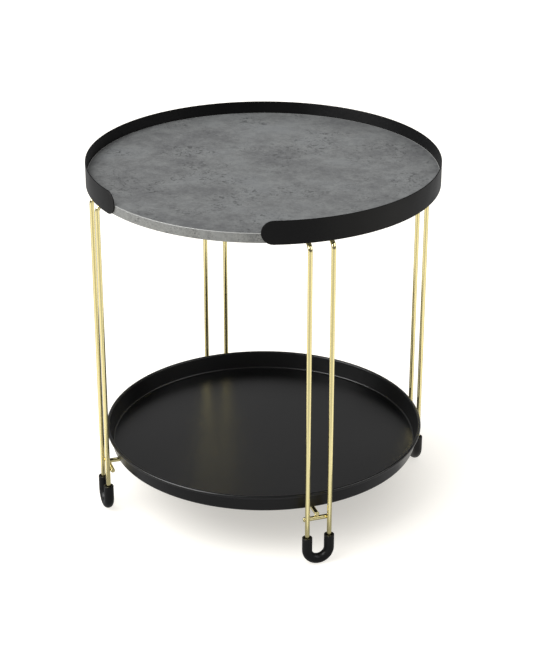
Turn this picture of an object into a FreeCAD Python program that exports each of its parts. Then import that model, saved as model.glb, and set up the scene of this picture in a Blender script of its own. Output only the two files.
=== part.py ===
import FreeCAD, Part
import math
import os

# Tiered side table: a round board in a steel gallery band, on four hairpin legs of bent wire,
# with a loose pressed tray resting on a wire cross between the legs.
# Millimetres. +Z is up, the floor is z = 0, the table's axis is x = y = 0, and the opening of the
# gallery band faces -Y.

# ---- Driving dimensions ------------------------------------------------------------------------

overall_diameter = 450.0        # over the gallery band
overall_height = 470.0          # floor to the band's top edge

# Gallery band: flat steel strip bent to a ring that is open at the front
band_thickness = 1.5
band_height = 30.0
band_opening_angle = 52.2       # between the tips of the two ends, in degrees
band_fit = 0.3                  # gap between the band and the edge banding

# Tabletop
board_thickness = 12.0
edge_banding_thickness = 1.0
edge_banding_chamfer = 0.6      # along its upper outer edge

# Tabs welded inside the band's lower edge, screwed up into the board
tab_count = 6
tab_thickness = 2.0
tab_width = 20.0
tab_reach = 22.0                # from the band towards the axis
tab_from_band_end = 8.0         # from a tip of the band to the middle of the first tab, in degrees

# Wire of the legs, the leg bars and the cross
wire_diameter = 6.0

# Hairpin legs, evenly spaced round the axis in this order
leg_names = ["front_right", "back_right", "back_left", "front_left"]
first_leg_angle = -45.0         # in degrees from +X
leg_rod_spacing = 29.2          # between the centre lines of a leg's two rods
leg_bend_radius = 10.0          # centre line, where a rod turns in under the board
leg_turn_in = 55.0              # straight length of a rod under the board

# Plates that the rods are welded to
plate_thickness = 3.0
plate_length = 50.0             # towards the axis
plate_margin = 4.4              # beyond each rod, across the leg
plate_corner_radius = 5.0
plate_screw_pitch = 28.0        # between the two screws of a plate
plate_inset = 4.0               # from the plate's inner edge to the rods' ends

# Rubber sleeves on the feet
sleeve_diameter = 13.0
sleeve_arm = 18.0               # straight length above the bend
sleeve_fit = 0.1                # between the sleeve's bore and the wire

# Leg bars and cross
bar_height = 62.0               # floor to the bars' centre lines
bar_overhang = 0.4              # beyond each rod
cross_overhang = 2.0            # of a cross wire past the bar's centre line
dip_flat = 20.0                 # length that passes under the other cross wire
dip_ramp = 16.0                 # length of each slope down to it
dip_bend_radius = 12.0          # centre line

# Tray
tray_diameter = 423.0           # over the rolled rim
tray_height = 25.0
tray_sheet = 1.0
tray_wall_lean = 10.0           # outward from upright, in degrees
tray_corner_radius = 2.5        # inside, between floor and wall
tray_bead_diameter = 4.5        # of the rolled rim
tray_gap = 0.3                  # under the tray, above the cross

# Wood screws
screw_diameter = 4.0
screw_head_diameter = 8.0
screw_hole_fit = 0.3            # around a screw in a plate or tab
screw_pilot_fit = 0.05          # around a screw in the board
leg_screw_length = 12.0         # with its countersunk head
leg_screw_head = 2.2
band_screw_length = 10.0        # under its head
band_screw_head = 2.4

# ---- Places that follow ------------------------------------------------------------------------

wire_radius = wire_diameter / 2
front_angle = -90.0             # of the direction -Y, in degrees from +X
leg_step = 360.0 / len(leg_names)
leg_angles = {name: first_leg_angle + leg_step * i for i, name in enumerate(leg_names)}

band_outer_radius = overall_diameter / 2
band_inner_radius = band_outer_radius - band_thickness
band_top = overall_height
band_bottom = band_top - band_height
band_end_angle = math.degrees(band_height / 2 / band_outer_radius)
band_half_opening = band_opening_angle / 2

top_radius = band_inner_radius - band_fit
board_radius = top_radius - edge_banding_thickness
board_bottom = band_bottom + tab_thickness
board_top = board_bottom + board_thickness

plate_bottom = board_bottom - plate_thickness
plate_width = leg_rod_spacing + wire_diameter + 2 * plate_margin

leg_radius = band_inner_radius - wire_radius
rod_offset = leg_rod_spacing / 2
rod_top = plate_bottom - wire_radius
rod_end_radius = leg_radius - leg_bend_radius - leg_turn_in
plate_inner_radius = rod_end_radius - plate_inset
plate_screw_radii = [plate_inner_radius + (plate_length + side * plate_screw_pitch) / 2
                     for side in (-1, 1)]
foot_bottom = sleeve_diameter / 2
sleeve_top = foot_bottom + rod_offset + sleeve_arm

bar_radius = leg_radius - wire_diameter
cross_height = bar_height + wire_diameter
cross_half_length = bar_radius + cross_overhang

tray_bottom = cross_height + wire_radius + tray_gap
tray_top = tray_bottom + tray_height

first_tab_angle = front_angle + band_half_opening + tab_from_band_end
tab_step = (360.0 - band_opening_angle - 2 * tab_from_band_end) / (tab_count - 1)
tab_angles = [first_tab_angle + tab_step * i for i in range(tab_count)]
tab_screw_radius = band_inner_radius - tab_reach / 2

up = FreeCAD.Vector(0, 0, 1)


# ---- Helpers -----------------------------------------------------------------------------------

def point(x, y, z):
    return FreeCAD.Vector(x, y, z)


def turned(shape, angle):
    """A copy of shape, turned about the table's axis."""
    copy = shape.copy()
    copy.rotate(point(0, 0, 0), up, angle)
    return copy


def disc(radius, low, high, distance=0.0):
    """An upright cylinder from low to high, its axis at this distance from the table's."""
    return Part.makeCylinder(radius, high - low, point(distance, 0, low))


def bent_path(start, corners, end):
    """Straight runs from start to end, with a tangent arc of the given radius at each corner."""
    edges = []
    stops = [place for place, radius in corners] + [end]
    here = start
    before = start
    for (corner, radius), after in zip(corners, stops[1:]):
        incoming = (before - corner).normalize()
        outgoing = (after - corner).normalize()
        half_angle = incoming.getAngle(outgoing) / 2
        reach = radius / math.tan(half_angle)
        arc_start = corner + incoming * reach
        arc_end = corner + outgoing * reach
        centre = corner + (incoming + outgoing).normalize() * (radius / math.sin(half_angle))
        arc_middle = centre + (corner - centre).normalize() * radius
        if (arc_start - here).Length > 1e-6:
            edges.append(Part.LineSegment(here, arc_start).toShape())
        edges.append(Part.Arc(arc_start, arc_middle, arc_end).toShape())
        here = arc_end
        before = corner
    edges.append(Part.LineSegment(here, end).toShape())
    return edges


def tube(path, radius):
    """A round bar along a path of lines and arcs."""
    start = path[0].valueAt(path[0].FirstParameter)
    direction = path[0].tangentAt(path[0].FirstParameter)
    section = Part.Wire(Part.Circle(start, direction, radius).toShape())
    return Part.Wire(path).makePipeShell([section], True, False)


# ---- Tabletop and band -------------------------------------------------------------------------

def make_tabletop():
    """The board, with a blind pilot hole in its underside for each screw."""
    pilot_radius = screw_diameter / 2 + screw_pilot_fit
    leg_pilots = [disc(pilot_radius, board_bottom, plate_bottom + leg_screw_length, distance)
                  for distance in plate_screw_radii]
    tab_pilot = disc(pilot_radius, board_bottom, band_bottom + band_screw_length,
                     tab_screw_radius)
    holes = [turned(hole, angle) for angle in leg_angles.values() for hole in leg_pilots]
    holes += [turned(tab_pilot, angle) for angle in tab_angles]
    return disc(board_radius, board_bottom, board_top).cut(holes)


def make_edge_banding():
    """A strip round the board, its upper outer edge trimmed at 45 degrees."""
    shoulder = board_top - edge_banding_chamfer
    trimmed = Part.makeCone(top_radius, top_radius - edge_banding_chamfer,
                            edge_banding_chamfer, point(0, 0, shoulder))
    return disc(top_radius, board_bottom, shoulder).fuse(trimmed).cut(
        disc(board_radius, board_bottom, board_top))


def make_gallery_band():
    """A ring left open at the front, with its two ends rounded over their whole height."""
    ring = disc(band_outer_radius, band_bottom, band_top).cut(
        disc(band_inner_radius, band_bottom, band_top))
    end_centre = front_angle + band_half_opening + band_end_angle
    straight_angle = 360.0 - band_opening_angle - 2 * band_end_angle
    sector = Part.makeCylinder(
        band_outer_radius, band_height, point(0, 0, band_bottom), up, straight_angle)
    strip = ring.common(turned(sector, end_centre))
    round_end = Part.makeCylinder(
        band_height / 2, overall_diameter, point(0, 0, (band_bottom + band_top) / 2), point(1, 0, 0))
    ends = [ring.common(turned(round_end, angle))
            for angle in (end_centre, end_centre + straight_angle)]
    return strip.fuse(ends).removeSplitter()


def make_band_tabs():
    """Each tab ends in a curve against the band's inner face."""
    blank = Part.makeBox(
        tab_reach + band_thickness, tab_width, tab_thickness,
        point(band_inner_radius - tab_reach, -tab_width / 2, band_bottom))
    tab = blank.common(disc(band_inner_radius, band_bottom, board_bottom))
    hole = disc(screw_diameter / 2 + screw_hole_fit, band_bottom, board_bottom, tab_screw_radius)
    tab = tab.cut(hole)
    return Part.makeCompound([turned(tab, angle) for angle in tab_angles])


# ---- Screws ------------------------------------------------------------------------------------

def countersunk_head(distance):
    return Part.makeCone(screw_head_diameter / 2, screw_diameter / 2, leg_screw_head,
                         point(distance, 0, plate_bottom))


def make_leg_screws():
    """Countersunk wood screws, their heads flush with the plates' undersides."""
    screws = []
    for distance in plate_screw_radii:
        shank = disc(screw_diameter / 2, plate_bottom, plate_bottom + leg_screw_length, distance)
        screws.append(shank.fuse(countersunk_head(distance)))
    return Part.makeCompound(
        [turned(screw, angle) for angle in leg_angles.values() for screw in screws])


def make_band_screws():
    """Pan-head wood screws under the tabs."""
    head = disc(screw_head_diameter / 2, band_bottom - band_screw_head, band_bottom,
                tab_screw_radius)
    shank = disc(screw_diameter / 2, band_bottom, band_bottom + band_screw_length,
                 tab_screw_radius)
    screw = head.fuse(shank)
    return Part.makeCompound([turned(screw, angle) for angle in tab_angles])


# ---- Legs --------------------------------------------------------------------------------------

def make_leg():
    """One wire: in under the board, down, round the foot, up, and in under the board again."""
    path = bent_path(
        point(rod_end_radius, -rod_offset, rod_top),
        [(point(leg_radius, -rod_offset, rod_top), leg_bend_radius),
         (point(leg_radius, -rod_offset, foot_bottom), rod_offset),
         (point(leg_radius, rod_offset, foot_bottom), rod_offset),
         (point(leg_radius, rod_offset, rod_top), leg_bend_radius)],
        point(rod_end_radius, rod_offset, rod_top))
    return tube(path, wire_radius)


def make_foot_sleeve():
    """A tube on the wire's bend, reaching a short way up both rods."""
    def along(radius):
        path = bent_path(
            point(leg_radius, -rod_offset, sleeve_top),
            [(point(leg_radius, -rod_offset, foot_bottom), rod_offset),
             (point(leg_radius, rod_offset, foot_bottom), rod_offset)],
            point(leg_radius, rod_offset, sleeve_top))
        return tube(path, radius)
    return along(sleeve_diameter / 2).cut(along(wire_radius + sleeve_fit))


def make_leg_plate():
    """A plate with rounded corners and a line of countersunk holes between the two rods."""
    blank = Part.makeBox(plate_length, plate_width, plate_thickness,
                         point(plate_inner_radius, -plate_width / 2, plate_bottom))
    upright = [edge for edge in blank.Edges if edge.BoundBox.ZLength > plate_thickness / 2]
    plate = blank.makeFillet(plate_corner_radius, upright)
    for distance in plate_screw_radii:
        hole = disc(screw_diameter / 2 + screw_hole_fit, plate_bottom, board_bottom, distance)
        plate = plate.cut([hole, countersunk_head(distance)])
    return plate


def make_leg_bar():
    """Across the inner side of the two rods."""
    length = leg_rod_spacing + wire_diameter + 2 * bar_overhang
    return Part.makeCylinder(wire_radius, length,
                             point(bar_radius, -length / 2, bar_height), point(0, 1, 0))


# ---- Cross -------------------------------------------------------------------------------------

def make_cross_wire():
    return Part.makeCylinder(wire_radius, 2 * cross_half_length,
                             point(-cross_half_length, 0, cross_height), point(1, 0, 0))


def make_dipped_cross_wire():
    """The same wire, let down by its own thickness where the other one passes over it."""
    low = cross_height - wire_diameter
    path = bent_path(
        point(-cross_half_length, 0, cross_height),
        [(point(-dip_flat / 2 - dip_ramp, 0, cross_height), dip_bend_radius),
         (point(-dip_flat / 2, 0, low), dip_bend_radius),
         (point(dip_flat / 2, 0, low), dip_bend_radius),
         (point(dip_flat / 2 + dip_ramp, 0, cross_height), dip_bend_radius)],
        point(cross_half_length, 0, cross_height))
    return tube(path, wire_radius)


# ---- Tray --------------------------------------------------------------------------------------

def make_tray():
    """One revolved section: flat floor, rounded corner, leaning wall and a rolled rim.

    The wall's inner face runs into the rim's roll at a tangent, and its outer face meets the roll
    from below.
    """
    lean = math.radians(tray_wall_lean)
    rise = point(math.sin(lean), 0, math.cos(lean))
    inward = point(-math.cos(lean), 0, math.sin(lean))
    bead_radius = tray_bead_diameter / 2
    bead_centre = point(tray_diameter / 2 - bead_radius, 0, tray_top - bead_radius)
    inner_top = bead_centre + inward * bead_radius
    outer_offset = bead_radius - tray_sheet
    outer_reach = math.sqrt(bead_radius ** 2 - outer_offset ** 2)
    outer_top = bead_centre + inward * outer_offset - rise * outer_reach

    floor_top = tray_bottom + tray_sheet
    inner_corner = inner_top - rise * ((inner_top.z - floor_top) / rise.z)
    outer_corner = outer_top - rise * ((outer_top.z - tray_bottom) / rise.z)
    outside = bent_path(point(0, 0, tray_bottom),
                        [(outer_corner, tray_corner_radius + tray_sheet)], outer_top)
    roll = Part.Arc(outer_top, bead_centre - inward * bead_radius, inner_top).toShape()
    inside = bent_path(inner_top, [(inner_corner, tray_corner_radius)], point(0, 0, floor_top))
    middle = Part.LineSegment(point(0, 0, floor_top), point(0, 0, tray_bottom)).toShape()
    section = Part.Face(Part.Wire(outside + [roll] + inside + [middle]))
    return section.revolve(point(0, 0, 0), up, 360)


# ---- Nodes -------------------------------------------------------------------------------------

def make_nodes():
    nodes = {
        "tabletop": make_tabletop(),
        "edge_banding": make_edge_banding(),
        "gallery_band": make_gallery_band(),
        "band_tabs": make_band_tabs(),
        "band_screws": make_band_screws(),
        "leg_screws": make_leg_screws(),
        "cross_wire": turned(make_cross_wire(), leg_angles["front_right"]),
        "dipped_cross_wire": turned(make_dipped_cross_wire(), leg_angles["back_right"]),
        "tray": make_tray(),
    }
    for name, angle in leg_angles.items():
        nodes["leg_" + name] = turned(make_leg(), angle)
        nodes["leg_plate_" + name] = turned(make_leg_plate(), angle)
        nodes["leg_bar_" + name] = turned(make_leg_bar(), angle)
    for side in ("front", "back"):
        sleeves = [turned(make_foot_sleeve(), angle)
                   for name, angle in leg_angles.items() if name.startswith(side)]
        nodes["foot_sleeves_" + side] = Part.makeCompound(sleeves)
    return nodes


os.makedirs("parts", exist_ok=True)
for node_name, node_shape in make_nodes().items():
    node_shape.exportStep("parts/" + node_name + ".step")
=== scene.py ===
"""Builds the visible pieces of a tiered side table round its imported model, and a studio for it.

Metres, +Z up. The floor is z = 0, the table's axis is x = y = 0, and the gallery band opens
towards -Y.
"""

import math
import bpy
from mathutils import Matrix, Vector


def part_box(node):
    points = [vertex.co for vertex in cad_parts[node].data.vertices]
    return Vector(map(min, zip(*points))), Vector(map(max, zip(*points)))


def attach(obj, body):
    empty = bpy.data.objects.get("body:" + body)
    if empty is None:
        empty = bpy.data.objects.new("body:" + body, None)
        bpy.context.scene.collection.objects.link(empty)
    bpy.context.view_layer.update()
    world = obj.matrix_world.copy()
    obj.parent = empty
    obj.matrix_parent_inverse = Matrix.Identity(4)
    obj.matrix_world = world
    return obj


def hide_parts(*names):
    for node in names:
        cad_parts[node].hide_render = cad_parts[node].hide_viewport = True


bl_info = {
    "name": "Tiered Side Table",
    "version": (1, 0, 0),
    "blender": (4, 5, 0),
    "location": "View3D > Sidebar > Side Table",
    "description": "Builds a round side table with a gallery band, hairpin legs and a lower tray",
    "category": "Object",
}

import bmesh
import bpy
from bpy.props import FloatProperty, FloatVectorProperty, PointerProperty
from mathutils import Matrix, Vector

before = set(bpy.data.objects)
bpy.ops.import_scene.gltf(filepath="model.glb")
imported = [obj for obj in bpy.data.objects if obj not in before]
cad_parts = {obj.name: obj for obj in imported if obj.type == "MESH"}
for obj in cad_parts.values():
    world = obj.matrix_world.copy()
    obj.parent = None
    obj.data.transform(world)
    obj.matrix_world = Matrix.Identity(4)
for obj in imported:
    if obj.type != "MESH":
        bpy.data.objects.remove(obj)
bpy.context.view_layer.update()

MM = 0.001
UP = Vector((0, 0, 1))
STAND = "stand"
TRAY = "tray"
LEG_ANGLES = {
    "front_right": math.radians(-45),
    "back_right": math.radians(45),
    "back_left": math.radians(135),
    "front_left": math.radians(225),
}


# ---- What a user would change ------------------------------------------------------------------

def length(name, description, millimetres):
    return FloatProperty(name=name, description=description, default=millimetres * MM,
                         min=0.0, precision=5, unit="LENGTH")


def angle(name, description, degrees):
    return FloatProperty(name=name, description=description, default=math.radians(degrees),
                         subtype="ANGLE")


def linear(code):
    """The linear values of an sRGB hex colour."""
    values = [int(code[i:i + 2], 16) / 255 for i in (0, 2, 4)]
    return [v / 12.92 if v <= 0.04045 else ((v + 0.055) / 1.055) ** 2.4 for v in values]


def colour(name, description, code):
    return FloatVectorProperty(name=name, description=description, default=linear(code),
                               subtype="COLOR", min=0.0, max=1.0)


def brightness(name, thing, value):
    return FloatProperty(name=name, description="Brightness of " + thing, default=value, min=0.0)


class TableSizes(bpy.types.PropertyGroup):
    """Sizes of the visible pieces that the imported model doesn't give by its boxes."""

    band_thickness: length("Band thickness", "Of the steel strip round the board", 1.5)
    band_rounding: length("Band rounding", "Of the strip's edges under their coat", 0.45)
    band_opening: angle("Band opening", "Between the tips of the band's two ends", 52.2)
    edging_thickness: length("Edging thickness", "Of the strip on the board's edge", 1.0)
    edging_rounding: length("Edging rounding", "Where its top edge was trimmed", 0.6)
    screw_diameter: length("Screw diameter", "Of the wood screws' shanks", 4.0)
    recess_reach: length("Recess reach", "Across a screw's cross recess", 4.4)
    recess_slot: length("Recess slot", "Width of each arm of the recess", 1.0)
    recess_depth: length("Recess depth", "Of the cross recess", 1.6)
    wire_diameter: length("Wire diameter", "Of legs, bars and cross", 6.0)
    wire_end_rounding: length("Wire end rounding", "Of cut ends after tumbling", 0.8)
    rod_spacing: length("Rod spacing", "Between a leg's two rods, at their centre lines", 29.2)
    leg_bend_radius: length("Leg bend", "Where a rod turns in under the board", 10.0)
    leg_turn_in: length("Leg turn-in", "Straight length of a rod under the board", 55.0)
    sleeve_diameter: length("Sleeve diameter", "Over the rubber on the feet", 13.0)
    sleeve_wall: length("Sleeve wall", "Of the rubber tube", 3.4)
    sleeve_rounding: length("Sleeve rounding", "Of the tube's cut ends", 0.5)
    mouth_flare: length("Mouth flare", "How far a sleeve's mouth stands off the wire", 1.1)
    mouth_depth: length("Mouth depth", "From a sleeve's end to where it grips the wire", 3.0)
    bar_length: length("Bar length", "Of the bars across the legs", 36.0)
    cross_overhang: length("Cross overhang", "Of a cross wire past a bar's centre line", 2.0)
    dip_flat: length("Dip flat", "Length that passes under the other cross wire", 20.0)
    dip_ramp: length("Dip ramp", "Length of each slope down to it", 16.0)
    dip_bend_radius: length("Dip bend", "Of the dipped wire, at its centre line", 12.0)
    tray_sheet: length("Tray sheet", "Thickness of the pressed steel", 1.0)
    tray_corner_radius: length("Tray corner", "Inside, between floor and wall", 2.5)
    tray_bead_diameter: length("Tray bead", "Of the rolled rim", 4.5)
    tray_wall_lean: angle("Tray wall lean", "Outward from upright", 10.0)


class TableColours(bpy.types.PropertyGroup):
    """Colours of the finishes."""

    concrete_light: colour("Concrete, light", "Paler clouds of the printed face", "8B8D8C")
    concrete_dark: colour("Concrete, dark", "Darker clouds of the printed face", "6A6B6C")
    concrete_cool: colour("Concrete, cool", "Bluish clouds of the printed face", "6C7078")
    concrete_speck: colour("Concrete, specks", "Printed pin-holes and trowel marks", "363739")
    # The edging's tones are set paler than the board's, so that its upright edge shows lighter than
    # the top
    edging_light: colour("Edging, light", "Paler part of the edging's print", "B2B3AF")
    edging_dark: colour("Edging, dark", "Darker part of the edging's print", "868785")
    # Colour of the pale line painted along the edging's top edge: a painted highlight
    edging_highlight: colour("Edging, trimmed", "Plastic under the print of the edging", "BEBFBC")
    powder: colour("Powder coat", "Matt black of the band", "0B0B0C")
    enamel: colour("Stove enamel", "Satin black of the tray", "080809")
    brass: colour("Brass plating", "Pale gold of the wire", "F0E3A8")
    rubber: colour("Rubber", "Sleeves on the feet", "0A0A0B")
    zinc: colour("Zinc plating", "Of the screws", "C9CDD2")


class StudioSettings(bpy.types.PropertyGroup):
    """The camera and the light."""

    camera_azimuth: angle("Camera azimuth", "From the front of the table to its right", 26.8)
    camera_elevation: angle("Camera elevation", "Above the horizon", 25.0)
    camera_distance: length("Camera distance", "From the point it looks at", 2400.0)
    camera_lens: FloatProperty(name="Lens", description="Focal length in millimetres",
                               default=98.2, min=1.0)
    aim_height: length("Aim height", "Of the point that the camera looks at", 223.0)
    aim_side: length("Aim side", "Of that point to the right of the axis", 3.8)
    key_azimuth: angle("Key azimuth", "Of the soft key light, as the camera's", -44.0)
    key_elevation: angle("Key elevation", "Of the soft key light", 58.0)
    key_spread: angle("Key spread", "How wide the key light is, seen from the table", 50.0)
    shadow_shift: length("Shadow shift", "Of the shadow's middle, away from the key light", 30.0)
    shadow_core: length("Shadow core", "Radius where the floor's glow begins to grow", 100.0)
    shadow_edge: length("Shadow edge", "Radius where the floor's glow is full", 270.0)
    key_strength: brightness("Key strength", "the key light", 1.9)
    sky_strength: brightness("Sky strength", "the white all round, for diffuse light", 0.45)
    floor_colour: colour("Floor", "Pale studio floor", "CCCAC5")
    floor_light: colour("Floor light", "What lifts the floor, faintly warm", "FFFCF6")
    floor_glow: brightness("Floor glow", "what lifts the floor under the table", 0.48)
    outer_glow: brightness("Outer glow", "what lifts the floor clear of the table", 0.84)
    mirrored_glow: brightness("Mirrored glow", "what lifts the floor in mirrors", 0.62)
    ring_card: brightness("Ring card", "the low wall round the table", 0.4)
    upper_card: brightness("Upper card", "the wall on top of it", 0.03)
    back_card: brightness("Back card", "the card that the tray's floor mirrors", 0.46)
    roof_card: brightness("Roof card", "the card that leans over from behind", 0.03)
    rear_card: brightness("Rear card", "the card on the floor behind the table", 0.62)
    strip_card: brightness("Strip card", "the card that leans over from the front", 0.2)
    left_card: brightness("Left card", "the card to the left", 10.0)
    right_card: brightness("Right card", "the card to the right", 3.0)
    near_card: brightness("Near card", "the card that the tray's wall mirrors", 0.38)
    foot_card: brightness("Foot card", "the card that the rods mirror just over the feet", 0.95)
    front_card: brightness("Front card", "the card that the rest of the rods mirrors", 0.68)


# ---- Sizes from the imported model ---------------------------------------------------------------

def level(node, end):
    """Height of a CAD piece's underside (end 0) or top (end 1), to a tenth of a millimetre."""
    return round(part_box(node)[end].z, 4)


def radius_of(node):
    return round(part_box(node)[1].x, 4)


def leg_radius(sizes):
    """From the table's axis to a rod that stands against the inside of the band."""
    return radius_of("gallery_band") - sizes.band_thickness - sizes.wire_diameter / 2


def bar_radius(sizes):
    return leg_radius(sizes) - sizes.wire_diameter


# ---- Meshes ------------------------------------------------------------------------------------

# A path with more of the upright in its direction than this starts its rings from the side
STEEP = 0.9


def bent(start, corners, end, step=math.radians(6)):
    """Points along straight runs from start to end, with an arc of the given radius per corner."""
    path = [start]
    before = start
    stops = [corner for corner, radius in corners] + [end]
    for (corner, radius), after in zip(corners, stops[1:]):
        back = (before - corner).normalized()
        ahead = (after - corner).normalized()
        half = back.angle(ahead) / 2
        centre = corner + (back + ahead).normalized() * radius / math.sin(half)
        first = (corner + back * radius / math.tan(half) - centre).normalized()
        last = (corner + ahead * radius / math.tan(half) - centre).normalized()
        count = max(2, math.ceil((math.pi - 2 * half) / step))
        arc = [centre + first.slerp(last, i / count) * radius for i in range(count + 1)]
        path += arc if (arc[0] - path[-1]).length > 1e-6 else arc[1:]
        before = corner
    return path + [end]


def add_net(bm, rows, closed_rows=False, closed_columns=False):
    """Quads between neighbouring rows of points."""
    lines = [[bm.verts.new(p) for p in row] for row in rows]
    following = lines[1:] + lines[:1] if closed_columns else lines[1:]
    for line, beyond in zip(lines, following):
        for i in range(0 if closed_rows else 1, len(line)):
            bm.faces.new((line[i - 1], beyond[i - 1], beyond[i], line[i]))
    return lines


def rings_along(path, radii, sides):
    """A ring of points round each point of a path, square to it, with the radius given there."""
    across = UP.orthogonal() if abs((path[1] - path[0]).normalized().z) > STEEP else UP
    turns = [2 * math.pi * i / sides for i in range(sides)]
    rings = []
    for before, here, after, radius in zip(path[:1] + path, path, path[1:] + path[-1:], radii):
        along = (after - before).normalized()
        across = (across - along * across.dot(along)).normalized()
        beside = across.cross(along)
        rings.append([here + (across * math.cos(a) + beside * math.sin(a)) * radius
                      for a in turns])
    return rings


def add_tube(bm, path, radius, sides=24):
    """A round bar along a path."""
    lines = add_net(bm, rings_along(path, [radius] * len(path), sides), closed_rows=True)
    bm.faces.new(lines[0])
    bm.faces.new(reversed(lines[-1]))


def add_lathed(bm, profile, steps=192, closed=True):
    """A profile of points in the XZ plane, turned about the table's axis."""
    turns = [Matrix.Rotation(2 * math.pi * i / steps, 3, "Z") for i in range(steps)]
    add_net(bm, [[turn @ p for p in profile] for turn in turns], closed, True)


def add_nugget(bm, place, size, ripple=0.12):
    """A weld nugget: a flattened bead with the slight ripple of metal that froze in place."""
    made = bmesh.ops.create_uvsphere(bm, u_segments=20, v_segments=12, radius=1.0)
    for vert in made["verts"]:
        wave = math.sin(5 * vert.co.x) * math.cos(4 * vert.co.y)
        vert.co *= 1 + ripple * wave
        vert.co = place @ Vector(c * s for c, s in zip(vert.co, size))


def new_piece(name, bm, solid=True):
    """An object from a finished bmesh, shaded smooth up to its sharp edges."""
    bmesh.ops.remove_doubles(bm, verts=bm.verts, dist=1e-7)
    if solid:
        bmesh.ops.recalc_face_normals(bm, faces=bm.faces)
    for face in bm.faces:
        face.smooth = True
    mesh = bpy.data.meshes.new(name)
    bm.to_mesh(mesh)
    bm.free()
    mesh.set_sharp_from_angle(angle=math.radians(35))
    piece = bpy.data.objects.new(name, mesh)
    bpy.context.scene.collection.objects.link(piece)
    return piece


def thicken(piece, thickness, offset):
    """Gives a sheet its thickness: offset -1 puts it behind the faces, and 1 in front of them."""
    solid = piece.modifiers.new("Sheet thickness", "SOLIDIFY")
    solid.thickness = thickness
    solid.offset = offset


def round_edges(piece, width, segments=3):
    """Rounds the sharp edges and keeps the faces beside them evenly shaded."""
    bevel = piece.modifiers.new("Rounded edges", "BEVEL")
    bevel.width = width
    bevel.segments = segments
    bevel.limit_method = "ANGLE"
    bevel.angle_limit = math.radians(40)
    normals = piece.modifiers.new("Even shading", "WEIGHTED_NORMAL")
    normals.keep_sharp = True


# ---- Finishes ----------------------------------------------------------------------------------

def add_node(tree, kind, inputs=None, **settings):
    """Adds a node with its settings. An input that is given as a socket is linked."""
    node = tree.nodes.new(kind)
    for name, value in settings.items():
        setattr(node, name, value)
    for name, value in (inputs or {}).items():
        if isinstance(value, bpy.types.NodeSocket):
            tree.links.new(value, node.inputs[name])
        else:
            node.inputs[name].default_value = value
    return node


def object_place(tree):
    """Places on the object itself, in metres."""
    return add_node(tree, "ShaderNodeTexCoord").outputs["Object"]


def noise(tree, place, millimetres, detail, **inputs):
    """A noise from 0 to 1, with features of about the given size."""
    return add_node(tree, "ShaderNodeTexNoise", {
        "Vector": place, "Scale": 1 / (millimetres * MM), "Detail": detail,
        **inputs}).outputs["Fac"]


def remap(tree, value, low, high, to_low=0.0, to_high=1.0):
    """Takes low to to_low and high to to_high, and no further."""
    return add_node(tree, "ShaderNodeMapRange", {
        "Value": value, "From Min": low, "From Max": high, "To Min": to_low,
        "To Max": to_high}).outputs[0]


def blend(tree, share, first, second):
    """A colour between two others, by the share of the second."""
    return add_node(tree, "ShaderNodeMix", {0: share, 6: first, 7: second},
                    data_type="RGBA").outputs[2]


def bump(tree, height, strength, millimetres, **inputs):
    """A normal that follows a height from 0 to 1, over a depth of the given size."""
    return add_node(tree, "ShaderNodeBump", {
        "Height": height, "Strength": strength, "Distance": millimetres * MM, **inputs}).outputs[0]


# Sums of the printed patterns, weighted as below, in the darkest and the palest clouds
DARKEST_TONE = 1.48
PALEST_TONE = 2.06


def printed_concrete(tree, shader, dark, light, coarseness):
    """The print of both the foil and the edging: clouds, finer mottling, sandy grit, and dark
    specks that come in patches. Returns its colour socket."""
    colours = bpy.context.scene.table_colours
    place = object_place(tree)
    clouds = noise(tree, place, 90 * coarseness, 3.0, Roughness=0.6)
    mottle = noise(tree, place, 17 * coarseness, 6.0, Roughness=0.7)
    grit = noise(tree, place, 4 * coarseness, 4.0, Roughness=0.8)
    tone = 0.0
    for pattern, weight in ((clouds, 1.35), (mottle, 1.1), (grit, 1.1)):
        tone = add_node(tree, "ShaderNodeMath", {0: pattern, 1: weight, 2: tone},
                        operation="MULTIPLY_ADD").outputs[0]
    grey = blend(tree, remap(tree, tone, DARKEST_TONE, PALEST_TONE), (*dark, 1), (*light, 1))
    cooled = blend(tree, remap(tree, clouds, 0.5, 0.75, to_high=0.3), grey,
                   (*colours.concrete_cool, 1))
    marks = noise(tree, place, 7 * coarseness, 4.0, Roughness=0.65, Distortion=1.2)
    patches = noise(tree, place, 48 * coarseness, 2.0)
    specks = add_node(tree, "ShaderNodeMath", {
        0: remap(tree, marks, 0.53, 0.62), 1: remap(tree, patches, 0.46, 0.62, 0.06, 0.75)},
        operation="MULTIPLY").outputs[0]
    tree.links.new(bump(tree, grit, 0.25, 0.06), shader.inputs["Normal"])
    tree.links.new(remap(tree, mottle, 0.3, 0.7, 0.46, 0.36), shader.inputs["Roughness"])
    return blend(tree, specks, cooled, (*colours.concrete_speck, 1))


def melamine_foil(tree, shader):
    """Melamine foil, printed as trowelled concrete and pressed on the board: grey clouds and darker
    specks under a faint satin sheen that turns them paler towards the light."""
    colours = bpy.context.scene.table_colours
    shown = printed_concrete(tree, shader, colours.concrete_dark, colours.concrete_light, 1.0)
    tree.links.new(shown, shader.inputs["Base Color"])
    shader.inputs["IOR"].default_value = 1.5


# Where the edging's print gives way to the pale line painted along its top edge as a highlight,
# down from its top, as shares of its rounding
HIGHLIGHT_BEGINS = 0.9
HIGHLIGHT_FULL = 0.6


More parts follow.
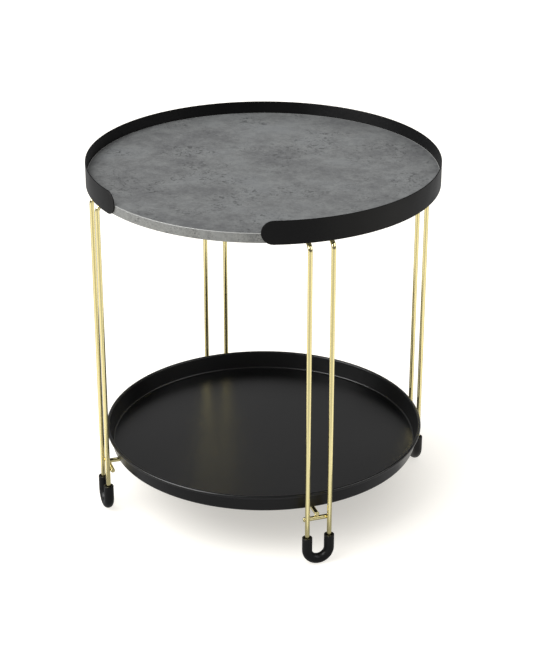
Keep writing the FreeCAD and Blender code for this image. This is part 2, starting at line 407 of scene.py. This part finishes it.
def melamine_edging(tree, shader):
    """Edging with the same print, trimmed flush, with a pale line painted along its top edge: a
    painted highlight where the rounded edge catches the light."""
    colours = bpy.context.scene.table_colours
    rounding = bpy.context.scene.table_sizes.edging_rounding
    top = level("edge_banding", 1)
    height = add_node(tree, "ShaderNodeSeparateXYZ", {0: object_place(tree)}).outputs["Z"]
    # Share of the painted highlight along the top edge
    trimmed = remap(tree, height, top - rounding * HIGHLIGHT_BEGINS, top - rounding * HIGHLIGHT_FULL)
    printed = printed_concrete(tree, shader, colours.edging_dark, colours.edging_light, 0.4)
    shown = blend(tree, trimmed, printed, (*colours.edging_highlight, 1))
    tree.links.new(shown, shader.inputs["Base Color"])
    shader.inputs["IOR"].default_value = 1.5


def powder_coat(tree, shader):
    """Polyester powder coat on steel, matt black: melted grains leave a fine orange peel, so
    highlights spread wide and break up. The grains are under 0.1 mm and are drawn at 0.8 mm."""
    place = object_place(tree)
    peel = noise(tree, place, 0.8, 2.0)
    drift = noise(tree, place, 35, 3.0)
    shader.inputs["Base Color"].default_value = (*bpy.context.scene.table_colours.powder, 1)
    shader.inputs["Specular IOR Level"].default_value = 0.18
    tree.links.new(bump(tree, peel, 0.35, 0.05), shader.inputs["Normal"])
    tree.links.new(remap(tree, drift, 0.3, 0.7, 0.38, 0.46), shader.inputs["Roughness"])


def stove_enamel(tree, shader):
    """Stove enamel sprayed on pressed steel, satin black: smoother than powder, so the rods show in
    it as soft streaks. The sheet is a little wavy from the press. The peel is finer than 0.5 mm and
    is drawn at 3 mm."""
    place = object_place(tree)
    waves = noise(tree, place, 120, 0.0)
    peel = noise(tree, place, 3, 0.0)
    relief = bump(tree, peel, 0.1, 0.02, Normal=bump(tree, waves, 0.1, 1))
    shader.inputs["Base Color"].default_value = (*bpy.context.scene.table_colours.enamel, 1)
    shader.inputs["Specular IOR Level"].default_value = 0.4
    tree.links.new(relief, shader.inputs["Normal"])
    tree.links.new(remap(tree, waves, 0.3, 0.7, 0.28, 0.32), shader.inputs["Roughness"])


def brass_plating(tree, shader):
    """Brass-coloured plating on drawn wire, polished: bright and pale, with faint draw lines that
    blur what it mirrors. The lines are finer than 0.1 mm and are drawn at 0.5 mm."""
    place = object_place(tree)
    lines = noise(tree, place, 0.5, 2.0)
    haze = noise(tree, place, 18, 3.0)
    shader.inputs["Base Color"].default_value = (*bpy.context.scene.table_colours.brass, 1)
    shader.inputs["Metallic"].default_value = 1.0
    tree.links.new(bump(tree, lines, 0.04, 0.02), shader.inputs["Normal"])
    tree.links.new(remap(tree, haze, 0.3, 0.7, 0.13, 0.2), shader.inputs["Roughness"])


def rubber_tube(tree, shader):
    """Extruded black rubber: dull, with a slight grey bloom in patches and a soft grain."""
    place = object_place(tree)
    bloom = remap(tree, noise(tree, place, 9, 5.0, Roughness=0.6), 0.4, 0.8, to_high=0.008)
    dusted = blend(tree, bloom, (*bpy.context.scene.table_colours.rubber, 1), (0.5, 0.5, 0.5, 1))
    grain = noise(tree, place, 0.7, 2.0)
    shader.inputs["Roughness"].default_value = 0.42
    shader.inputs["Specular IOR Level"].default_value = 0.3
    tree.links.new(dusted, shader.inputs["Base Color"])
    tree.links.new(bump(tree, grain, 0.3, 0.05), shader.inputs["Normal"])


def zinc_plating(tree, shader):
    """Bright zinc on steel screws: bluish grey metal with a light haze."""
    haze = noise(tree, object_place(tree), 2, 3.0)
    shader.inputs["Base Color"].default_value = (*bpy.context.scene.table_colours.zinc, 1)
    shader.inputs["Metallic"].default_value = 1.0
    tree.links.new(remap(tree, haze, 0.3, 0.7, 0.25, 0.4), shader.inputs["Roughness"])


FINISHES = {
    "concrete_laminate": ("Melamine foil, printed and pressed", melamine_foil),
    "edge_strip": ("Melamine edging, printed and trimmed", melamine_edging),
    "black_powder_coat": ("Steel strip, powder coated", powder_coat),
    "black_tray_enamel": ("Pressed steel, stove enamelled", stove_enamel),
    "brass_plated_wire": ("Steel wire, brass plated and polished", brass_plating),
    "black_rubber": ("Rubber tube, extruded", rubber_tube),
    "zinc_screw": ("Steel screw, zinc plated", zinc_plating),
}


def coat(piece, slot):
    """Gives a piece the finish of a slot, made the first time that it is asked for."""
    name, build = FINISHES[slot]
    material = bpy.data.materials.get(name)
    if material is None:
        material = bpy.data.materials.new(name)
        material.use_nodes = True
        build(material.node_tree, material.node_tree.nodes["Principled BSDF"])
    piece.data.materials.clear()
    piece.data.materials.append(material)


def fit(piece, body, slot, *nodes):
    """Seats a new piece on its body, in place of the CAD nodes that it stands for."""
    coat(piece, slot)
    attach(piece, body)
    if nodes:
        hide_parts(*nodes)


def coat_node(node, slot):
    """Gives a CAD node that stays in view its finish."""
    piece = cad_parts[node]
    coat(piece, slot)
    for face in piece.data.polygons:
        face.use_smooth = True
    piece.data.set_sharp_from_angle(angle=math.radians(30))


# ---- Board and band ----------------------------------------------------------------------------

# Radii of the rings that the board's faces are drawn in, as shares of its own
BOARD_RINGS = (0.0, 0.5, 0.9, 1.0)

# How much of the edging's trimmed edge one step of it turns through
EDGING_STEP = math.radians(18)

# The grid of the band: steps along its straight part and round each end, and the places of its
# rows, from the lower edge at -1 to the upper edge at 1, closer together beside the edges
BAND_STEPS = 176
BAND_FAN_STEPS = 12
BAND_ROWS = (-1.0, -0.93, -0.6, -0.3, 0.0, 0.3, 0.6, 0.93, 1.0)


def make_board():
    """The round board: its foil runs over the top and the underside."""
    radius = radius_of("tabletop")
    low = level("tabletop", 0)
    high = level("tabletop", 1)
    reaches = [radius * share for share in BOARD_RINGS]
    bm = bmesh.new()
    add_lathed(bm, [Vector((reach, 0, low)) for reach in reaches]
               + [Vector((reach, 0, high)) for reach in reaches[::-1]], closed=False)
    fit(new_piece("board", bm), STAND, "concrete_laminate", "tabletop")


def make_board_edging(sizes):
    """The strip round the board, with its trimmed top edge."""
    outer = radius_of("edge_banding")
    inner = outer - sizes.edging_thickness
    low = level("edge_banding", 0)
    high = level("edge_banding", 1)
    edge = bent(Vector((outer, 0, low)), [(Vector((outer, 0, high)), sizes.edging_rounding)],
                Vector((inner, 0, high)), EDGING_STEP)
    bm = bmesh.new()
    add_lathed(bm, edge + [Vector((inner, 0, low))])
    fit(new_piece("board_edging", bm), STAND, "edge_strip", "edge_banding")


def make_steel_band(sizes):
    """The strip is a grid wrapped on a cylinder. At its ends, the grid's columns swing round the
    middle of the strip like a fan, so that they end in a half circle."""
    radius = radius_of("gallery_band")
    low = level("gallery_band", 0)
    high = level("gallery_band", 1)
    half_height = (high - low) / 2
    middle = (high + low) / 2
    half_length = radius * (math.pi - sizes.band_opening / 2) - half_height
    swings = [math.pi / 2 * i / BAND_FAN_STEPS for i in range(BAND_FAN_STEPS)]
    runs = [2 * i / BAND_STEPS - 1 for i in range(BAND_STEPS + 1)]
    columns = [(-half_length, -math.cos(swing), math.sin(swing)) for swing in swings]
    columns += [(half_length * run, 0.0, 1.0) for run in runs]
    columns += [(half_length, math.cos(swing), math.sin(swing)) for swing in swings[::-1]]
    rows = []
    for place, reach, rise in columns:
        row = []
        for share in BAND_ROWS:
            turn = math.pi / 2 + (place + reach * half_height * abs(share)) / radius
            row.append(Vector((radius * math.cos(turn), radius * math.sin(turn),
                               middle + rise * half_height * share)))
        rows.append(row)
    bm = bmesh.new()
    add_net(bm, rows)
    piece = new_piece("steel_band", bm, solid=False)
    thicken(piece, sizes.band_thickness, -1)
    round_edges(piece, sizes.band_rounding)
    fit(piece, STAND, "black_powder_coat", "gallery_band")


# ---- Screws ------------------------------------------------------------------------------------

# Radius and rise of the points of a head's profile, in millimetres, from its face
PAN_HEAD = ((2.6, 0.0), (3.5, 0.35), (3.9, 0.9), (4.0, 1.5), (4.0, 2.4))
COUNTERSUNK_HEAD = ((3.85, 0.0), (4.0, 0.12), (2.0, 2.2))
SCREW_SIDES = 48
POINT_LENGTH = 3 * MM
POINT_RADIUS = 0.3 * MM
RECESS_TAPER = 0.5
# Points of the CAD model are on a screw's face when they lie within this depth of the lowest one,
# and on the same screw when they lie closer together than its reach
FACE_DEPTH = 0.1 * MM
SCREW_REACH = 12 * MM


def head_centres(node):
    """Middles of the screws' faces, from the lowest points of their CAD node."""
    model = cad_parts[node]
    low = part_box(node)[0].z
    heads = []
    for point in (model.matrix_world @ vert.co for vert in model.data.vertices):
        if point.z > low + FACE_DEPTH:
            continue
        head = next((head for head in heads if (head[0] - point).length < SCREW_REACH), None)
        if head is None:
            heads.append([point])
        else:
            head.append(point)
    return [Vector([(min(values) + max(values)) / 2 for values in zip(*head)]) for head in heads]


def add_screw(bm, centre, profile, sizes):
    """A screw that points up from its face, turned from a profile, with a tapered cross recess."""
    turns = [math.radians(360 / SCREW_SIDES * i) for i in range(SCREW_SIDES)]
    lines = add_net(bm, [[centre + Vector((radius * math.cos(turn), radius * math.sin(turn), rise))
                          for turn in turns] for radius, rise in profile], closed_rows=True)
    bm.faces.new(lines[-1])
    far = sizes.recess_reach / 2
    near = sizes.recess_slot / 2
    arm = [(far, -near), (far, near), (near, near)]
    cross = [Matrix.Rotation(math.radians(90 * i), 2) @ Vector(corner)
             for i in range(4) for corner in arm]
    depths = ((1.0, 0.0), (RECESS_TAPER, sizes.recess_depth))
    recess = add_net(bm, [[centre + Vector((*corner * share, depth)) for corner in cross]
                          for share, depth in depths], closed_rows=True)
    bm.faces.new(recess[-1])
    borders = [bm.edges.get((line[i - 1], line[i])) for line in (lines[0], recess[0])
               for i in range(len(line))]
    bmesh.ops.triangle_fill(bm, edges=borders, use_beauty=True)


def make_screws(name, node, head, sizes):
    """All screws of a CAD node, with their points in the board."""
    shank = sizes.screw_diameter / 2
    tip = level(node, 1) - level(node, 0)
    profile = [(radius * MM, rise * MM) for radius, rise in head]
    profile += [(shank, profile[-1][1]), (shank, tip - POINT_LENGTH), (POINT_RADIUS, tip)]
    bm = bmesh.new()
    for centre in head_centres(node):
        add_screw(bm, centre, profile, sizes)
    fit(new_piece(name, bm), STAND, "zinc_screw", node)


# ---- Legs and feet -----------------------------------------------------------------------------

SLEEVE_SIDES = 32


def leg_path(sizes):
    """Centre line of a leg that stands on the +X side."""
    side = sizes.rod_spacing / 2
    reach = leg_radius(sizes)
    top = level("leg_plate_front_right", 0) - sizes.wire_diameter / 2
    bottom = sizes.sleeve_diameter / 2
    inner = reach - sizes.leg_bend_radius - sizes.leg_turn_in
    corners = [(Vector((reach, -side, top)), sizes.leg_bend_radius),
               (Vector((reach, -side, bottom)), side),
               (Vector((reach, side, bottom)), side),
               (Vector((reach, side, top)), sizes.leg_bend_radius)]
    return bent(Vector((inner, -side, top)), corners, Vector((inner, side, top)))


def make_leg(name, sizes):
    turn = Matrix.Rotation(LEG_ANGLES[name], 3, "Z")
    bm = bmesh.new()
    add_tube(bm, [turn @ p for p in leg_path(sizes)], sizes.wire_diameter / 2)
    piece = new_piece("hairpin_" + name, bm)
    round_edges(piece, sizes.wire_end_rounding)
    fit(piece, STAND, "brass_plated_wire", "leg_" + name)


def make_sleeves(side, sizes):
    """Both rubber tubes of one side of the table, each pushed on round a leg's bend."""
    offset = sizes.rod_spacing / 2
    reach = leg_radius(sizes)
    outer = sizes.sleeve_diameter / 2
    bore = outer - sizes.sleeve_wall
    top = level("foot_sleeves_" + side, 1)
    grip = top - sizes.mouth_depth
    bend = bent(Vector((reach, -offset, grip)),
                [(Vector((reach, -offset, outer)), offset),
                 (Vector((reach, offset, outer)), offset)],
                Vector((reach, offset, grip)))
    path = [Vector((reach, -offset, top))] + bend + [Vector((reach, offset, top))]
    mouth = bore + sizes.mouth_flare
    bores = [mouth] + [bore] * len(bend) + [mouth]
    bm = bmesh.new()
    for name, turned in LEG_ANGLES.items():
        if name.startswith(side):
            line = [Matrix.Rotation(turned, 3, "Z") @ p for p in path]
            outside = rings_along(line, [outer] * len(line), SLEEVE_SIDES)
            inside = rings_along(line, bores, SLEEVE_SIDES)
            add_net(bm, outside + inside[::-1], closed_rows=True, closed_columns=True)
    piece = new_piece("rubber_sleeves_" + side, bm)
    round_edges(piece, sizes.sleeve_rounding)
    fit(piece, STAND, "black_rubber", "foot_sleeves_" + side)


# ---- Cross -------------------------------------------------------------------------------------

# Half sizes of the weld nuggets, in millimetres: outward from the table's axis, sideways and up
BESIDE_ROD = (0.7, 1.3, 1.3)
ON_BAR = (1.3, 1.3, 0.7)
UNDER_PLATE = (9.0, 1.3, 1.3)
# Where the runs under the plates lie, as shares of a rod's radius: inward of its centre line and
# down from the plate
RUN_INSET = 0.8
RUN_DROP = 0.4


def make_bar(name, sizes):
    turn = Matrix.Rotation(LEG_ANGLES[name], 3, "Z")
    height = (level("leg_bar_" + name, 0) + level("leg_bar_" + name, 1)) / 2
    ends = [Vector((bar_radius(sizes), side * sizes.bar_length / 2, height)) for side in (-1, 1)]
    bm = bmesh.new()
    add_tube(bm, [turn @ p for p in ends], sizes.wire_diameter / 2)
    piece = new_piece("crossbar_" + name, bm)
    round_edges(piece, sizes.wire_end_rounding)
    fit(piece, STAND, "brass_plated_wire", "leg_bar_" + name)


def make_cross_rod(name, turned, dip, sizes, node):
    """A straight wire from leg to leg, or one that dips under the other in the middle."""
    turn = Matrix.Rotation(turned, 3, "Z")
    high = level(node, 1) - sizes.wire_diameter / 2
    reach = bar_radius(sizes) + sizes.cross_overhang
    flat = sizes.dip_flat / 2
    ramp = flat + sizes.dip_ramp
    corners = []
    if dip:
        low = high - sizes.wire_diameter
        corners = [(Vector((x, 0, z)), sizes.dip_bend_radius)
                   for x, z in ((-ramp, high), (-flat, low), (flat, low), (ramp, high))]
    path = bent(Vector((-reach, 0, high)), corners, Vector((reach, 0, high)))
    bm = bmesh.new()
    add_tube(bm, [turn @ p for p in path], sizes.wire_diameter / 2)
    piece = new_piece(name, bm)
    round_edges(piece, sizes.wire_end_rounding)
    fit(piece, STAND, "brass_plated_wire", node)


def make_weld_nuggets(sizes):
    """Resistance welds where bars meet rods and cross wires, and short runs under the plates."""
    wire = sizes.wire_diameter / 2
    side = sizes.rod_spacing / 2
    bar = bar_radius(sizes)
    bar_height = (level("leg_bar_front_right", 0) + level("leg_bar_front_right", 1)) / 2
    plate_bottom = level("leg_plate_front_right", 0)
    run_middle = leg_radius(sizes) - sizes.leg_bend_radius - sizes.leg_turn_in / 2
    spots = [((bar + wire, -side, bar_height), BESIDE_ROD),
             ((bar + wire, side, bar_height), BESIDE_ROD),
             ((bar, 0, bar_height + wire), ON_BAR),
             ((run_middle, -side + wire * RUN_INSET, plate_bottom - RUN_DROP * wire), UNDER_PLATE),
             ((run_middle, side - wire * RUN_INSET, plate_bottom - RUN_DROP * wire), UNDER_PLATE)]
    bm = bmesh.new()
    for turned in LEG_ANGLES.values():
        turn = Matrix.Rotation(turned, 4, "Z")
        for place, size in spots:
            add_nugget(bm, turn @ Matrix.Translation(place), [s * MM for s in size])
    add_nugget(bm, Matrix.Translation((0, 0, bar_height + wire)), [s * MM for s in ON_BAR])
    fit(new_piece("weld_nuggets", bm), STAND, "brass_plated_wire")


# ---- Tray --------------------------------------------------------------------------------------

# How far the rim is rolled, and the steps that this is drawn in
RIM_ROLL = math.radians(288)
RIM_STEPS = 32
# Rings that divide the flat floor, as shares of its radius
FLOOR_RINGS = (0.3, 0.6, 0.85)


def make_serving_tray(sizes):
    """A sheet seen from above: flat floor, corner, leaning wall, and a rim rolled outward and down
    until it nearly meets the wall again. The sheet's thickness goes below and outside it."""
    lean = sizes.tray_wall_lean
    rise = Vector((math.sin(lean), 0, math.cos(lean)))
    inward = Vector((-math.cos(lean), 0, math.sin(lean)))
    bead = sizes.tray_bead_diameter / 2
    centre = Vector((radius_of("tray") - bead, 0, level("tray", 1) - bead))
    floor = level("tray", 0) + sizes.tray_sheet
    wall_top = centre + inward * bead
    corner = wall_top - rise * ((wall_top.z - floor) / rise.z)
    section = bent(Vector((0, 0, floor)), [(corner, sizes.tray_corner_radius)], wall_top)
    for i in range(1, RIM_STEPS + 1):
        turn = RIM_ROLL * i / RIM_STEPS
        section.append(centre + (inward * math.cos(turn) + rise * math.sin(turn)) * bead)
    spread = [Vector((section[1].x * share, 0, floor)) for share in FLOOR_RINGS]
    bm = bmesh.new()
    add_lathed(bm, section[:1] + spread + section[1:], closed=False)
    piece = new_piece("serving_tray", bm, solid=False)
    thicken(piece, sizes.tray_sheet, 1)
    fit(piece, TRAY, "black_tray_enamel", "tray")


# ---- Studio ------------------------------------------------------------------------------------

FLOOR_REACH = 30.0

# The walls that go round the studio, by the heights of their lower and upper edge. The low one is
# dim and the one on top of it dark, for the tray's wall and the inner side of its rim.
RING_DISTANCE = 3.0
RING_TURNS = [math.radians(turn) for turn in range(0, 361, 10)]
RING_CARDS = {"ring_card": (0.0, 0.4), "upper_card": (0.4, 1.3)}

# The flat cards: degrees to the right of the camera, then two edges, each as distance, half width
# and height. Behind the table, one stands for the tray's floor and one lies for the ends of the
# band. Dark ones lean over from behind and from the front, for the inner side of the tray's rim.
# Bright ones stand at the left and right, for its outer side. Three lie in front, for the outside
# of the tray's wall and for the rods.
LYING = 0.002
FLAT_CARDS = {
    "back_card": (0, (-1.6, 2.5, 0.4), (-1.6, 2.5, 1.3)),
    "roof_card": (0, (-1.6, 2.5, 1.3), (1.0, 2.5, 3.3)),
    "rear_card": (0, (-0.1, 3.0, LYING), (-2.8, 3.0, LYING)),
    "strip_card": (0, (2.9, 2.0, 1.4), (1.2, 1.2, 3.2)),
    "left_card": (-65, (2.0, 0.9, 0.9), (2.0, 0.9, 3.2)),
    "right_card": (75, (2.0, 0.9, 0.9), (2.0, 0.9, 2.4)),
    "near_card": (0, (0.02, 0.3, LYING), (0.3, 0.3, LYING)),
    "foot_card": (0, (0.3, 0.3, LYING), (0.52, 0.45, LYING)),
    "front_card": (0, (0.52, 0.45, LYING), (2.8, 1.96, LYING)),
}


def compass(azimuth, elevation):
    """The direction from the table to something round it. Azimuth 0 is in front, at -Y."""
    return Vector((math.sin(azimuth) * math.cos(elevation),
                   -math.cos(azimuth) * math.cos(elevation), math.sin(elevation)))


def seen_directly(tree):
    """1 for rays that show the background as it is: from the camera, a gloss or through glass."""
    rays = add_node(tree, "ShaderNodeLightPath").outputs
    seen = add_node(tree, "ShaderNodeMath", {0: rays["Is Camera Ray"], 1: rays["Is Glossy Ray"]},
                    operation="MAXIMUM").outputs[0]
    return add_node(tree, "ShaderNodeMath", {0: seen, 1: rays["Is Transmission Ray"]},
                    operation="MAXIMUM").outputs[0]


def make_sky(studio):
    world = bpy.data.worlds.new("Studio white")
    bpy.context.scene.world = world
    world.use_nodes = True
    tree = world.node_tree
    strength = remap(tree, seen_directly(tree), 0.0, 1.0, studio.sky_strength, 1.0)
    background = tree.nodes["Background"]
    background.inputs["Color"].default_value = (1, 1, 1, 1)
    tree.links.new(strength, background.inputs["Strength"])


def make_floor(studio):
    """Pale floor. What sees it directly sees it lifted to white, with the table's shadow kept. The
    lift grows away from the table, so that the shadow stays under it, a little away from the key
    light."""
    material = bpy.data.materials.new("Studio floor, matt paint")
    material.use_nodes = True
    tree = material.node_tree
    shader = tree.nodes["Principled BSDF"]
    middle = compass(studio.key_azimuth + math.pi, 0.0) * studio.shadow_shift
    from_middle = add_node(tree, "ShaderNodeVectorMath", {0: object_place(tree), 1: middle},
                           operation="DISTANCE")
    lift = add_node(tree, "ShaderNodeMapRange", {
        "Value": from_middle.outputs["Value"], "From Min": studio.shadow_core,
        "From Max": studio.shadow_edge, "To Min": studio.floor_glow, "To Max": studio.outer_glow},
        interpolation_type="SMOOTHSTEP")
    rays = add_node(tree, "ShaderNodeLightPath").outputs
    mirrored = add_node(tree, "ShaderNodeMath", {
        0: rays["Is Glossy Ray"], 1: rays["Is Transmission Ray"]}, operation="MAXIMUM")
    in_mirrors = add_node(tree, "ShaderNodeMath", {
        0: mirrored.outputs[0], 1: studio.mirrored_glow}, operation="MULTIPLY")
    glow = add_node(tree, "ShaderNodeMath", {
        0: rays["Is Camera Ray"], 1: lift.outputs[0], 2: in_mirrors.outputs[0]},
        operation="MULTIPLY_ADD")
    shader.inputs["Base Color"].default_value = (*studio.floor_colour, 1)
    shader.inputs["Roughness"].default_value = 1.0
    shader.inputs["Specular IOR Level"].default_value = 0.0
    shader.inputs["Emission Color"].default_value = (*studio.floor_light, 1)
    tree.links.new(glow.outputs[0], shader.inputs["Emission Strength"])
    bm = bmesh.new()
    bmesh.ops.create_grid(bm, x_segments=8, y_segments=8, size=FLOOR_REACH)
    floor = new_piece("studio_floor", bm, solid=False)
    floor.data.materials.append(material)


def make_card(name, azimuth, rows, glow):
    """A card that glows with the given brightness and that only glossy faces see, from rows of
    points as for azimuth 0.
    """
    material = bpy.data.materials.new(name + ", glowing")
    material.use_nodes = True
    shader = material.node_tree.nodes["Principled BSDF"]
    shader.inputs["Base Color"].default_value = (0, 0, 0, 1)
    shader.inputs["Specular IOR Level"].default_value = 0.0
    # The card glows: its brightness is emitted light, seen only in reflections
    shader.inputs["Emission Color"].default_value = (1, 1, 1, 1)
    shader.inputs["Emission Strength"].default_value = glow
    bm = bmesh.new()
    add_net(bm, rows)
    card = new_piece(name, bm, solid=False)
    card.rotation_euler.z = azimuth
    card.data.materials.append(material)
    card.visible_camera = False
    card.visible_diffuse = False
    card.visible_shadow = False
    card.visible_transmission = False


def make_cards(studio):
    """Cards for what is glossy, each with the brightness that bears its name."""
    front = studio.camera_azimuth
    for name, heights in RING_CARDS.items():
        wall = [[compass(turn, 0.0) * RING_DISTANCE + UP * height for height in heights]
                for turn in RING_TURNS]
        make_card(name, front, wall, getattr(studio, name))
    for name, (turned, *edges) in FLAT_CARDS.items():
        rows = [[(side * half_width, -distance, height) for distance, half_width, height in edges]
                for side in (-1, 1)]
        make_card(name, front + math.radians(turned), rows, getattr(studio, name))


def make_key_light(studio):
    """A wide soft light from the left."""
    light = bpy.data.lights.new("Key", "SUN")
    light.energy = studio.key_strength
    light.angle = studio.key_spread
    lamp = bpy.data.objects.new("Key", light)
    bpy.context.scene.collection.objects.link(lamp)
    lamp.rotation_euler = compass(studio.key_azimuth, studio.key_elevation).to_track_quat(
        "Z", "Y").to_euler()


def make_camera(studio):
    data = bpy.data.cameras.new("Camera")
    data.lens = studio.camera_lens
    data.clip_end = 100.0
    camera = bpy.data.objects.new("Camera", data)
    bpy.context.scene.collection.objects.link(camera)
    back = compass(studio.camera_azimuth, studio.camera_elevation)
    right = compass(studio.camera_azimuth + math.pi / 2, 0.0)
    aim = UP * studio.aim_height + right * studio.aim_side
    camera.location = aim + back * studio.camera_distance
    camera.rotation_euler = back.to_track_quat("Z", "Y").to_euler()
    bpy.context.scene.camera = camera


# ---- Operators ---------------------------------------------------------------------------------

class SIDETABLE_OT_board(bpy.types.Operator):
    """Make the board and the edging round it"""
    bl_idname = "side_table.board"
    bl_label = "Board and edging"
    bl_options = {"REGISTER", "UNDO"}

    def execute(self, context):
        make_board()
        make_board_edging(context.scene.table_sizes)
        return {"FINISHED"}


class SIDETABLE_OT_band(bpy.types.Operator):
    """Make the gallery band and its screws, and finish the tabs that hold it"""
    bl_idname = "side_table.band"
    bl_label = "Gallery band"
    bl_options = {"REGISTER", "UNDO"}

    def execute(self, context):
        sizes = context.scene.table_sizes
        make_steel_band(sizes)
        coat_node("band_tabs", "black_powder_coat")
        make_screws("pan_head_screws", "band_screws", PAN_HEAD, sizes)
        return {"FINISHED"}


class SIDETABLE_OT_legs(bpy.types.Operator):
    """Make the four hairpin legs and their screws, and finish their plates"""
    bl_idname = "side_table.legs"
    bl_label = "Hairpin legs"
    bl_options = {"REGISTER", "UNDO"}

    def execute(self, context):
        sizes = context.scene.table_sizes
        for name in LEG_ANGLES:
            make_leg(name, sizes)
            coat_node("leg_plate_" + name, "brass_plated_wire")
        make_screws("countersunk_screws", "leg_screws", COUNTERSUNK_HEAD, sizes)
        return {"FINISHED"}


class SIDETABLE_OT_feet(bpy.types.Operator):
    """Make the rubber sleeves on the feet"""
    bl_idname = "side_table.feet"
    bl_label = "Rubber sleeves"
    bl_options = {"REGISTER", "UNDO"}

    def execute(self, context):
        for side in ("front", "back"):
            make_sleeves(side, context.scene.table_sizes)
        return {"FINISHED"}


class SIDETABLE_OT_cross(bpy.types.Operator):
    """Make the bars across the legs, the two cross wires on them and their welds"""
    bl_idname = "side_table.cross"
    bl_label = "Bars and cross"
    bl_options = {"REGISTER", "UNDO"}

    def execute(self, context):
        sizes = context.scene.table_sizes
        for name in LEG_ANGLES:
            make_bar(name, sizes)
        make_cross_rod("upper_cross_rod", LEG_ANGLES["front_right"], False, sizes, "cross_wire")
        make_cross_rod("dipped_cross_rod", LEG_ANGLES["back_right"], True, sizes,
                       "dipped_cross_wire")
        make_weld_nuggets(sizes)
        return {"FINISHED"}


class SIDETABLE_OT_tray(bpy.types.Operator):
    """Make the loose tray that rests on the cross"""
    bl_idname = "side_table.tray"
    bl_label = "Tray"
    bl_options = {"REGISTER", "UNDO"}

    def execute(self, context):
        make_serving_tray(context.scene.table_sizes)
        return {"FINISHED"}


class SIDETABLE_OT_studio(bpy.types.Operator):
    """Make the white studio: sky, floor, key light and camera"""
    bl_idname = "side_table.studio"
    bl_label = "Studio"
    bl_options = {"REGISTER", "UNDO"}

    def execute(self, context):
        studio = context.scene.studio_settings
        context.scene.view_settings.view_transform = "Standard"
        make_sky(studio)
        make_floor(studio)
        make_cards(studio)
        make_key_light(studio)
        make_camera(studio)
        return {"FINISHED"}


STEPS = (SIDETABLE_OT_studio, SIDETABLE_OT_board, SIDETABLE_OT_band, SIDETABLE_OT_legs,
         SIDETABLE_OT_feet, SIDETABLE_OT_cross, SIDETABLE_OT_tray)


class SIDETABLE_PT_panel(bpy.types.Panel):
    """Lists the table's steps and settings in the 3D view's sidebar"""
    bl_idname = "SIDETABLE_PT_panel"
    bl_label = "Tiered Side Table"
    bl_space_type = "VIEW_3D"
    bl_region_type = "UI"
    bl_category = "Side Table"

    def draw(self, context):
        for step in STEPS:
            self.layout.operator(step.bl_idname)
        for group in SETTINGS:
            settings = getattr(context.scene, group)
            box = self.layout.box()
            for name in settings.bl_rna.properties.keys():
                if name not in ("rna_type", "name"):
                    box.prop(settings, name)


SETTINGS = {
    "table_sizes": TableSizes,
    "table_colours": TableColours,
    "studio_settings": StudioSettings,
}
CLASSES = (*SETTINGS.values(), *STEPS, SIDETABLE_PT_panel)


def register():
    for each in CLASSES:
        bpy.utils.register_class(each)
    for name, group in SETTINGS.items():
        setattr(bpy.types.Scene, name, PointerProperty(type=group))


def unregister():
    for name in SETTINGS:
        delattr(bpy.types.Scene, name)
    for each in reversed(CLASSES):
        bpy.utils.unregister_class(each)


def main():
    """Registers the add-on and runs its steps."""
    register()
    bpy.ops.side_table.studio()
    bpy.ops.side_table.board()
    bpy.ops.side_table.band()
    bpy.ops.side_table.legs()
    bpy.ops.side_table.feet()
    bpy.ops.side_table.cross()
    bpy.ops.side_table.tray()


if __name__ == "__main__":
    main()
